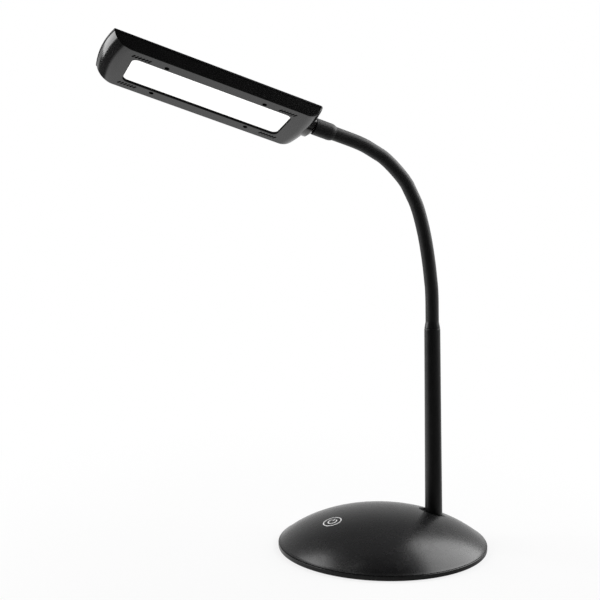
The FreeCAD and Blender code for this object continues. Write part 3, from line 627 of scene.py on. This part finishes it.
def head_solid(name, levels):
    """A solid through outlines given as height, tip radius, neck radius and half width."""
    rings = [outline(tip, neck, half, height) for height, tip, neck, half in levels]
    return new_object(name, *skin_rings(rings), HEAD)


levels = []
last_angle = math.degrees(math.asin((CENTRE_UP - SPLIT_UP + JOINT_LIP) / END_ROUND))
for k in range(ROUND_STEPS + 1):
    angle = math.radians(90 - (90 - last_angle) * k / ROUND_STEPS)
    height = CENTRE_UP - END_ROUND * math.sin(angle)
    rise = height + HEAD_BOTTOM
    half = BODY_HALF
    if rise < SIDE_ROUND:
        half = BODY_HALF - SIDE_ROUND + math.sqrt(SIDE_ROUND ** 2 - (SIDE_ROUND - rise) ** 2)
    levels.append((height, tip_radius(height), neck_radius(height), half))
for height, inset in ((SPLIT_UP - 0.08, 0.12), (SPLIT_UP, 0.5)):
    levels.append((height, tip_radius(SPLIT_UP) - inset, neck_radius(SPLIT_UP) - inset, BODY_HALF - inset))
housing = head_solid("head_body", levels)

FLOOR_UP = HEAD_FLOOR - HEAD_BOTTOM
cavity_levels = []
for k in range(CAVITY_STEPS + 1):
    height = FLOOR_UP + (SPLIT_UP + 1 - FLOOR_UP) * k / CAVITY_STEPS
    radius = tip_radius(height, HEAD_WALL)
    cavity_levels.append((height, radius, radius, HALF - HEAD_WALL))
cavity = head_solid("cavity", cavity_levels)

# Openings in the head's underside: the window, a well for each screw and four rows of slanted vents

WINDOW_WIDTH = 31.9
WINDOW_LENGTH = 121.0
WINDOW_CORNER = 4.5
WINDOW_DEPTH = 3.0
WINDOW_FLARE = 0.2
WINDOW_MARGIN = 0.25
WELL_ACROSS = 19.2
WELL_ALONG = 37.0
WELL_RADIUS = 1.6
WELL_DEPTH = 3.2
WELL_FLARE = 0.2
POST_RADIUS = 2.6
POST_LOW = 0.5 - HEAD_BOTTOM
POST_HIGH = 4.5 - HEAD_BOTTOM
SCREW_WAY = 0.95
VENTS_IN_ROW = 6
VENT_ACROSS = 19.6
VENT_ALONG = 55.4
VENT_PITCH = 2.3
VENT_WIDTH = 1.2
VENT_LENGTH = 3.4
VENT_DEPTH = 3.0
VENT_FLARE = 0.1
VENT_SLANT = math.radians(30.0)


def window_level(grow, height):
    """A rectangle with round corners, centred on the head's middle."""
    corner = WINDOW_CORNER + grow
    ring = []
    for sx, sy, start in ((1, 1, 0), (-1, 1, 90), (-1, -1, 180), (1, -1, 270)):
        centre = (sx * ((WINDOW_WIDTH + 2 * grow) / 2 - corner), sy * ((WINDOW_LENGTH + 2 * grow) / 2 - corner))
        ring += [(x, y + MIDDLE, height) for x, y in arc(centre, corner, start, start + 90, 8)]
    return ring


def well_level(x, y):
    def level(grow, height):
        return [(x + u, y + v, height) for u, v in circle(WELL_RADIUS + grow, 32)]
    return level


def vent_level(x, y):
    def level(grow, height):
        ring = []
        long, wide = VENT_LENGTH / 2 + grow, VENT_WIDTH / 2 + grow
        for u, v in ((long, wide), (-long, wide), (-long, -wide), (long, -wide)):
            ring.append((x + u * math.cos(VENT_SLANT) - v * math.sin(VENT_SLANT),
                         y + u * math.sin(VENT_SLANT) + v * math.cos(VENT_SLANT), height))
        return ring
    return level


def opening(name, shape, depth, flare):
    """A cutting tool with a small bevel at the head's underside."""
    low = -HEAD_BOTTOM
    rings = [shape(flare, low - 0.2), shape(flare, low), shape(0.0, low + flare), shape(0.0, low + depth)]
    return new_object(name, *skin_rings(rings), HEAD)


wells = [(sx * WELL_ACROSS, MIDDLE + sy * WELL_ALONG) for sx in (-1, 1) for sy in (-1, 1)]
posts = [cylinder(f"post_{k}", POST_RADIUS, POST_LOW, POST_HIGH, HEAD @ shift(x, y), steps=32)
         for k, (x, y) in enumerate(wells)]
combine(housing, [cavity], "DIFFERENCE")
combine(housing, posts, "UNION")
openings = [opening("window", window_level, WINDOW_DEPTH, WINDOW_FLARE)]
openings += [opening(f"well_{k}", well_level(x, y), WELL_DEPTH, WELL_FLARE) for k, (x, y) in enumerate(wells)]
screw_ways = [cylinder(f"screw_way_{k}", SCREW_WAY, -HEAD_BOTTOM, 1, HEAD @ shift(x, y), steps=24)
              for k, (x, y) in enumerate(wells)]
for sx in (-1, 1):
    for sy in (-1, 1):
        for number in range(VENTS_IN_ROW):
            x = sx * VENT_ACROSS
            y = MIDDLE + sy * VENT_ALONG + (number - (VENTS_IN_ROW - 1) / 2) * VENT_PITCH
            openings.append(opening(f"vent_{len(openings)}", vent_level(x, y), VENT_DEPTH, VENT_FLARE))
openings.append(block("tongue_way", (-6.1, -8, -4.9), (6.1, 8, -1.1), HEAD))
combine(housing, [joined(openings), joined(screw_ways)], "DIFFERENCE")
finish_piece(housing, BEZEL, angle=28)

# Painted shade: the window's inner walls are matte, darker than the bezel and low in reflection, so they read as
# shaded
housing.data.materials.append(SHADED_RECESS)
to_head = HEAD.inverted()
for face in housing.data.polygons:
    middle = to_head @ (face.center / MM)
    beside = max(abs(middle.x) - WINDOW_WIDTH / 2, abs(middle.y - MIDDLE) - WINDOW_LENGTH / 2)
    if beside < WINDOW_MARGIN and 0.02 < middle.z + HEAD_BOTTOM < WINDOW_DEPTH:
        face.material_index = 1
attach(housing, "head")
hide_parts("head_housing")

# The thin cover on top, with small bevels, as heights and insets
LID_EDGES = ((SPLIT_UP, 0.3), (SPLIT_UP + 0.08, 0.1), (SPLIT_UP + 0.25, 0.0), (HEAD_TOP - 0.25, 0.0),
             (HEAD_TOP - 0.08, 0.05), (HEAD_TOP, 0.22))
lid = head_solid("head_lid", [(height, END_RADIUS - inset, END_RADIUS - inset, HALF - inset)
                              for height, inset in LID_EDGES])
finish_piece(lid, COVER, angle=30)
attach(lid, "head")
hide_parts("head_cover")

# The glossy flare: round at the collar, oval where it meets the head's end, which it wraps without entering

FLARE_START = NECK_REACH - COLLAR_LENGTH - 0.3
FLARE_ROUND = 6.0
FLARE_WIDE = 11.0
FLARE_HIGH = 5.1
FLARE_DROP = 3.1
FLARE_STEPS = 12
FLARE_EASE = 1.6
STUB_RADIUS = 2.9
STUB_LENGTH = 11.6
ROOM_HEIGHTS = (-9.39, -9.3, -9, -8.5, -8, -7, -6, -5, -4, -3, -2, -1, 0, SPLIT_UP)
ROOM_GAP = 0.02


def neck_ring(back, half_wide, half_high, drop, steps=64):
    return [(half_wide * math.cos(math.tau * k / steps), -back, half_high * math.sin(math.tau * k / steps) - drop)
            for k in range(steps)]


flare_rings = [neck_ring(-FLARE_START, 5.6, 5.6, 0), neck_ring(-FLARE_START + 0.05, 5.9, 5.9, 0),
               neck_ring(-FLARE_START + 0.2, FLARE_ROUND, FLARE_ROUND, 0)]
for k in range(1, FLARE_STEPS + 1):
    t = k / FLARE_STEPS
    flare_rings.append(neck_ring(
        -FLARE_START + 0.2 + (FLARE_START + 0.6) * t, FLARE_ROUND + (FLARE_WIDE - FLARE_ROUND) * t ** FLARE_EASE,
        FLARE_ROUND - (FLARE_ROUND - FLARE_HIGH) * t, FLARE_DROP * t))
flare_rings += [neck_ring(back, FLARE_WIDE, FLARE_HIGH, FLARE_DROP) for back in (4.0, 7.5)]
flare = new_object("neck_flare", *skin_rings(flare_rings), HEAD)
flare_stub = cylinder("flare_stub", STUB_RADIUS, 0, STUB_LENGTH, HEAD @ shift(y=STUB_LENGTH) @ turn_x(90), steps=48)
combine(flare, [flare_stub], "UNION")
combine(flare, [block("above_head", (-20, -30, SPLIT_UP), (20, 0.15, 10), HEAD)], "DIFFERENCE")
room_levels = [(height, tip_radius(height) + ROOM_GAP, neck_radius(height) + ROOM_GAP, HALF)
               for height in ROOM_HEIGHTS]
combine(flare, [head_solid("head_room", room_levels)], "DIFFERENCE")
finish_piece(flare, GLOSS, angle=30)
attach(flare, "head")
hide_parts("head_neck")

# Floor, light and camera. Lengths are in metres from here on.


def calculated(tree, operation, first, second):
    node = tree.nodes.new("ShaderNodeMath")
    node.operation = operation
    tree.links.new(first, node.inputs[0])
    tree.links.new(second, node.inputs[1])
    return node.outputs["Value"]


def emission(tree, strength=None):
    """White light of strength 1, or of the strength that a socket gives."""
    node = tree.nodes.new("ShaderNodeEmission")
    node.inputs["Color"].default_value = (1, 1, 1, 1)
    node.inputs["Strength"].default_value = 1.0
    if strength is not None:
        tree.links.new(strength, node.inputs["Strength"])
    return node.outputs["Emission"]


def mixed(tree, share, first, second):
    node = tree.nodes.new("ShaderNodeMixShader")
    tree.links.new(share, node.inputs["Fac"])
    tree.links.new(first, node.inputs[1])
    tree.links.new(second, node.inputs[2])
    return node.outputs["Shader"]


def floor_material():
    """A white table that is lit from behind the lamp. Seen directly it is white, with the lamp's shadow."""
    material, tree, shader = nodes_of("pale_floor")
    shader.inputs["Base Color"].default_value = (0.9, 0.9, 0.9, 1)
    shader.inputs["Roughness"].default_value = 0.9
    shader.inputs["Specular IOR Level"].default_value = 0.0
    coordinates = tree.nodes.new("ShaderNodeTexCoord")
    axes = tree.nodes.new("ShaderNodeSeparateXYZ")
    tree.links.new(coordinates.outputs["Object"], axes.inputs["Vector"])
    path = tree.nodes.new("ShaderNodeLightPath")

    # What the lamp mirrors: bright behind it, dark toward the camera, dimmer on both sides, white far to the right
    behind = ramp_of(tree, axes.outputs["X"], -0.12, 0.16, 0.95, 0.10)
    front = ramp_of(tree, axes.outputs["Y"], -0.58, -0.46, 0.10, 1.0)
    back = ramp_of(tree, axes.outputs["Y"], 0.50, 0.85, 1.0, 0.35)
    near = calculated(tree, "MULTIPLY", behind, calculated(tree, "MULTIPLY", front, back))
    beyond = ramp_of(tree, axes.outputs["Y"], 1.1, 1.6, 0.0, 1.0)
    mirrored = emission(tree, calculated(tree, "MAXIMUM", near, beyond))

    # What the camera sees: mostly plain white, all of it at a distance, so that no horizon shows
    distance = tree.nodes.new("ShaderNodeVectorMath")
    distance.operation = "LENGTH"
    tree.links.new(coordinates.outputs["Object"], distance.inputs[0])
    plain = ramp_of(tree, distance.outputs["Value"], 0.16, 0.5, 0.8, 1.0)
    share = calculated(tree, "MULTIPLY", path.outputs["Is Camera Ray"], plain)
    seen = mixed(tree, share, shader.outputs["BSDF"], emission(tree))
    tree.links.new(mixed(tree, path.outputs["Is Glossy Ray"], seen, mirrored),
                   tree.nodes["Material Output"].inputs["Surface"])
    return material


FLOOR_HALF = 9.0 / MM
floor = new_object("floor", [(-FLOOR_HALF, -FLOOR_HALF, 0), (FLOOR_HALF, -FLOOR_HALF, 0),
                             (FLOOR_HALF, FLOOR_HALF, 0), (-FLOOR_HALF, FLOOR_HALF, 0)], [(0, 1, 2, 3)])
floor.data.materials.append(floor_material())

BACKDROP_WAY = (-0.94, 0.33, 0.0)
# Heights of a direction, and how bright the world is there
SKY = ((0.0, 0.64), (0.22, 0.52), (0.45, 0.36), (0.65, 0.22), (1.0, 0.28))


def studio_world():
    """White to the camera. Its light comes from the backdrop behind the lamp and fades upward."""
    world = bpy.data.worlds.new("studio")
    bpy.context.scene.world = world
    world.use_nodes = True
    tree = world.node_tree
    dim = tree.nodes["Background"]
    white = tree.nodes.new("ShaderNodeBackground")
    white.inputs["Color"].default_value = (1, 1, 1, 1)
    coordinates = tree.nodes.new("ShaderNodeTexCoord")
    axes = tree.nodes.new("ShaderNodeSeparateXYZ")
    tree.links.new(coordinates.outputs["Generated"], axes.inputs["Vector"])
    toward = tree.nodes.new("ShaderNodeVectorMath")
    toward.operation = "DOT_PRODUCT"
    toward.inputs[1].default_value = BACKDROP_WAY
    tree.links.new(coordinates.outputs["Generated"], toward.inputs[0])
    backdrop = ramp_of(tree, toward.outputs["Value"], -0.1, 0.4, 0.12, 1.0)
    height = tree.nodes.new("ShaderNodeValToRGB")
    elements = height.color_ramp.elements
    for position, level in SKY[1:-1]:
        elements.new(position)
    for element, (position, level) in zip(elements, SKY):
        element.position = position
        element.color = (level, level, level, 1)
    tree.links.new(axes.outputs["Z"], height.inputs["Fac"])
    tree.links.new(height.outputs["Color"], dim.inputs["Color"])
    tree.links.new(backdrop, dim.inputs["Strength"])
    path = tree.nodes.new("ShaderNodeLightPath")
    tree.links.new(mixed(tree, path.outputs["Is Camera Ray"], dim.outputs["Background"], white.outputs["Background"]),
                   tree.nodes["World Output"].inputs["Surface"])


studio_world()


def softbox(name, turn, rise, distance, wide, high, level):
    """A soft light in a direction from the lamp, given in degrees, with an even brightness."""
    data = bpy.data.lights.new(name, "AREA")
    data.shape = "RECTANGLE"
    data.size = wide
    data.size_y = high
    data.energy = level * math.pi * wide * high
    item = bpy.data.objects.new(name, data)
    turn, rise = math.radians(turn), math.radians(rise)
    away = Vector((math.cos(rise) * math.cos(turn), math.cos(rise) * math.sin(turn), math.sin(rise)))
    item.location = away * distance + Vector((0, 0, 0.1))
    item.rotation_euler = (-away).to_track_quat("-Z", "Y").to_euler()
    bpy.context.scene.collection.objects.link(item)


softbox("right_softbox", turn=92, rise=38, distance=1.5, wide=1.5, high=1.4, level=3.8)
softbox("left_softbox", turn=-123, rise=28, distance=1.6, wide=1.05, high=1.8, level=3.6)

# The camera that the base's rim and dome in the photograph give
CAMERA_PLACE = (0.7337, -0.3267, 0.2648)
CAMERA_FORWARD = Vector((-0.940, 0.330, -0.086)).normalized()
CAMERA_RIGHT = Vector((0.331, 0.9435, 0.0)).normalized()

camera_data = bpy.data.cameras.new("camera")
camera_data.sensor_width = 36.0
camera_data.lens = 61.8
camera = bpy.data.objects.new("camera", camera_data)
bpy.context.scene.collection.objects.link(camera)
bpy.context.scene.camera = camera
camera_up = CAMERA_RIGHT.cross(CAMERA_FORWARD)
camera_axes = Matrix((CAMERA_RIGHT, camera_up, -CAMERA_FORWARD)).transposed()
camera.matrix_world = Matrix.Translation(CAMERA_PLACE) @ camera_axes.to_4x4()

bpy.context.scene.view_settings.view_transform = "Standard"
